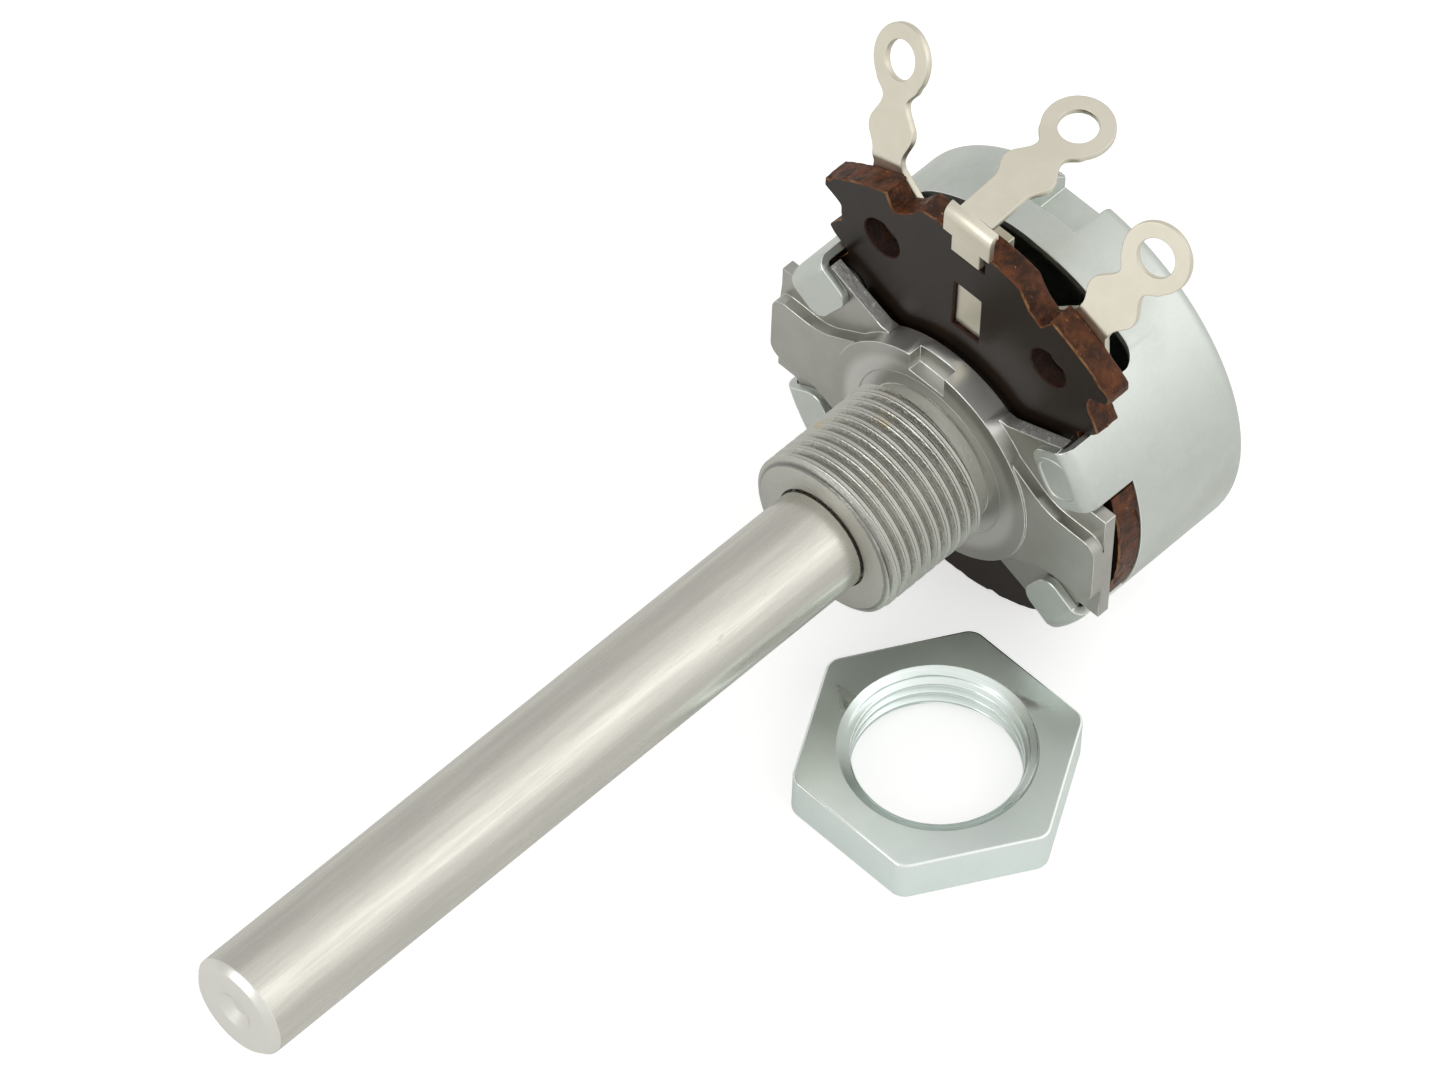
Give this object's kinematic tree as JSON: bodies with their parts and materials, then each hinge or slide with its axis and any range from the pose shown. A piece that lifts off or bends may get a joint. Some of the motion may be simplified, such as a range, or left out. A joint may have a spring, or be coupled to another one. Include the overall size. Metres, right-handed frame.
{
  "type": "rotary potentiometer",
  "caption": "Panel potentiometer with a long round shaft, threaded bushing, winged plate, steel can clamped by folded straps, eyelet terminals and its loose hexagon nut.",
  "frame": {"origin": "on the shaft's axis, in the plane of the collar face that meets the panel", "axes": "-Y along the shaft towards its tip, +Z upright towards the terminals, +X along the right wing"},
  "size_m": [0.0293, 0.0633, 0.0331],
  "materials": {
    "zinc_casting": "satin zinc die casting",
    "shaft_aluminium": "satin, drawn and turned",
    "washer_steel": "satin",
    "spring_steel": "dark satin",
    "phenolic": "glossy laminate with rough cut edges",
    "carbon": "matte carbon composition",
    "tinned": "tinned, satin",
    "bronze": "satin spring bronze",
    "zinc_plate": "zinc plated, smooth"
  },
  "bodies": {
    "housing": {"bushing_plate": "zinc_casting", "thrust_washer": "washer_steel", "spring_washer": "spring_steel", "wafer": "phenolic", "resistive_track": "carbon", "collector_ring": "tinned", "left_terminal": "tinned", "middle_terminal": "tinned", "right_terminal": "tinned", "cover": "zinc_plate", "nut": "zinc_plate"},
    "shaft_assembly": {"shaft": "shaft_aluminium", "retaining_ring": "spring_steel", "rotor": "phenolic", "wiper_spring": "bronze", "wiper_rivets": "bronze", "track_brush": "carbon", "collector_brush": "carbon", "stop_plate": "washer_steel"}
  },
  "joints": [
    {"name": "shaft_turn", "type": "hinge", "parent": "housing", "child": "shaft_assembly", "pos_m": [0, 0, 0], "axis": [0, 1, 0], "range_deg": [-150, 150]}
  ]
}
